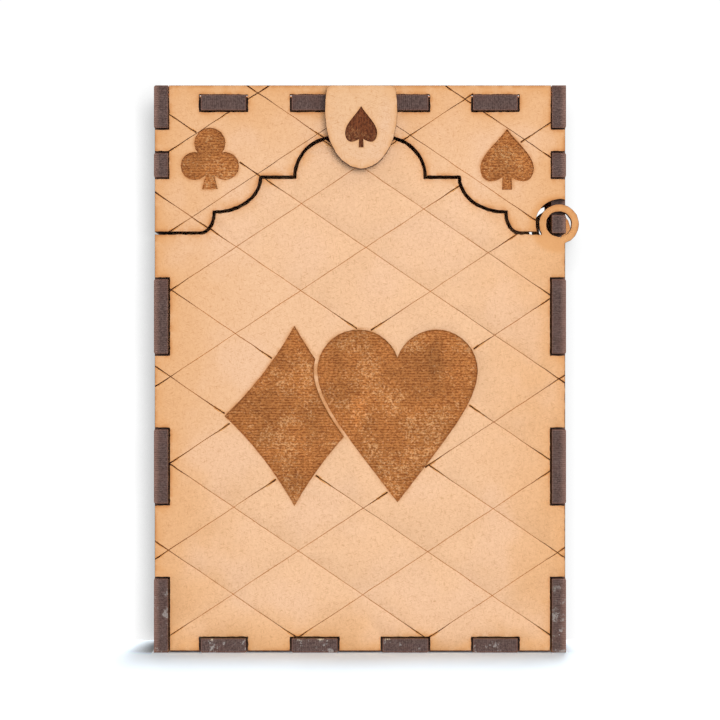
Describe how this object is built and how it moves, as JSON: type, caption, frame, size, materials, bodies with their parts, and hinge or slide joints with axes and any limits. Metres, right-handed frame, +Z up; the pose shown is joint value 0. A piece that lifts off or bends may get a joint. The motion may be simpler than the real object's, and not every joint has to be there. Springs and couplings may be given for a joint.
{
  "type": "card deck box",
  "caption": "Upright finger-jointed fibreboard box for a deck of playing cards, with a lighter-style lid that swings sideways on ring ears and a turning latch tongue.",
  "frame": {"origin": "centre of the base, on the plane that the box stands on", "axes": "+Z up along the box's height, front with the engraved heart and the latch faces -Y, +X towards the hinge ears"},
  "size_m": [0.0749, 0.0296, 0.1],
  "materials": {
    "mdf_face": "raw fibreboard, laser engraved and scorched beside the cuts",
    "mdf_side": "raw fibreboard with charred dark brown cut edges",
    "latch_mdf": "raw fibreboard, a little paler and pinker"
  },
  "bodies": {
    "body": {"body_front_panel": "mdf_face", "body_back_panel": "mdf_face", "body_left_side": "mdf_side", "body_right_side": "mdf_side", "body_bottom": "mdf_side"},
    "lid": {"lid_front_panel": "mdf_face", "lid_back_panel": "mdf_face", "lid_left_side": "mdf_side", "lid_right_side": "mdf_side", "lid_top": "mdf_side"},
    "latch": {"latch_tongue": "latch_mdf", "latch_hub": "latch_mdf", "latch_plate": "latch_mdf"}
  },
  "joints": [
    {"name": "lid_hinge", "type": "hinge", "parent": "body", "child": "lid", "pos_m": [0.03505, 0, 0.0755], "axis": [0, 1, 0], "range_deg": [0, 120]},
    {"name": "latch_turn", "type": "hinge", "parent": "lid", "child": "latch", "pos_m": [0.0002, -0.0135, 0.09225], "axis": [0, 1, 0], "range_deg": [-90, 90]}
  ]
}
